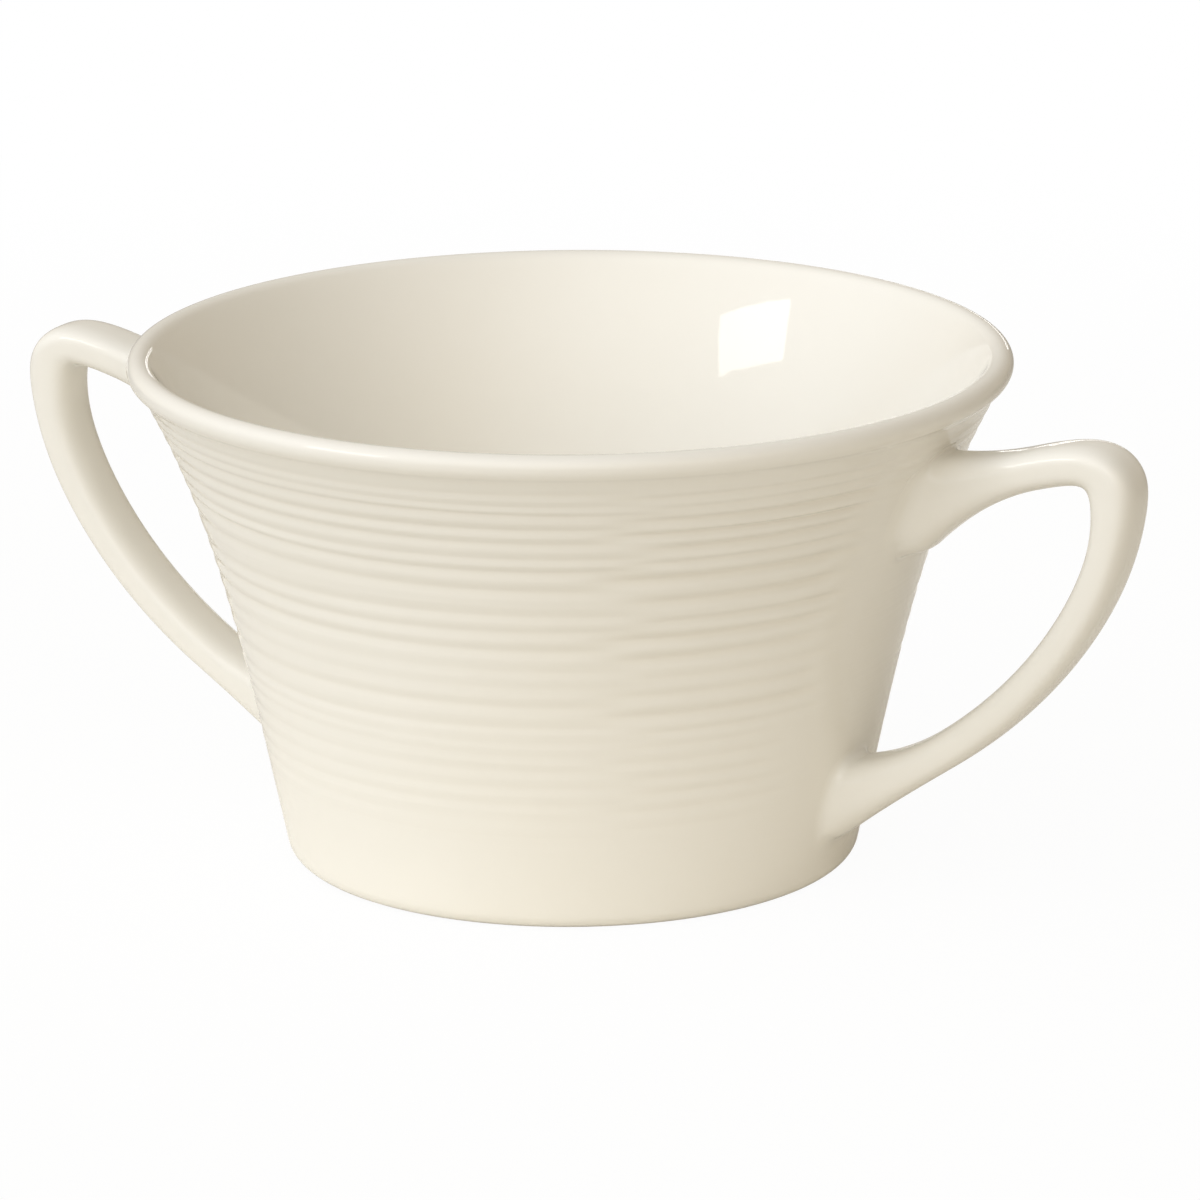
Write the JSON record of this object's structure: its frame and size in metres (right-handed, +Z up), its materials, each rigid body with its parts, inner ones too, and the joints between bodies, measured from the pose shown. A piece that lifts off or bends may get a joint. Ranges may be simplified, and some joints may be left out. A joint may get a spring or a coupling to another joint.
{
  "type": "lug soup bowl",
  "caption": "Round soup bowl with a flared, ringed wall, a rolled lip and a foot ring, and a looped lug luted to each side for lifting.",
  "frame": {"origin": "centre of the foot ring, on the table", "axes": "+Z up along the bowl's axis, +X out through the right lug, +Y away from the front"},
  "size_m": [0.1638, 0.116, 0.068],
  "materials": {
    "glazed_bowl": "glossy ivory glaze",
    "glazed_lug": "glossy ivory glaze",
    "luting_slip": "fired slip under the glaze"
  },
  "bodies": {
    "root": {"bowl_body": "glazed_bowl", "left_lug": "glazed_lug", "right_lug": "glazed_lug", "left_upper_slip": "luting_slip", "left_lower_slip": "luting_slip", "right_upper_slip": "luting_slip", "right_lower_slip": "luting_slip"}
  },
  "joints": []
}
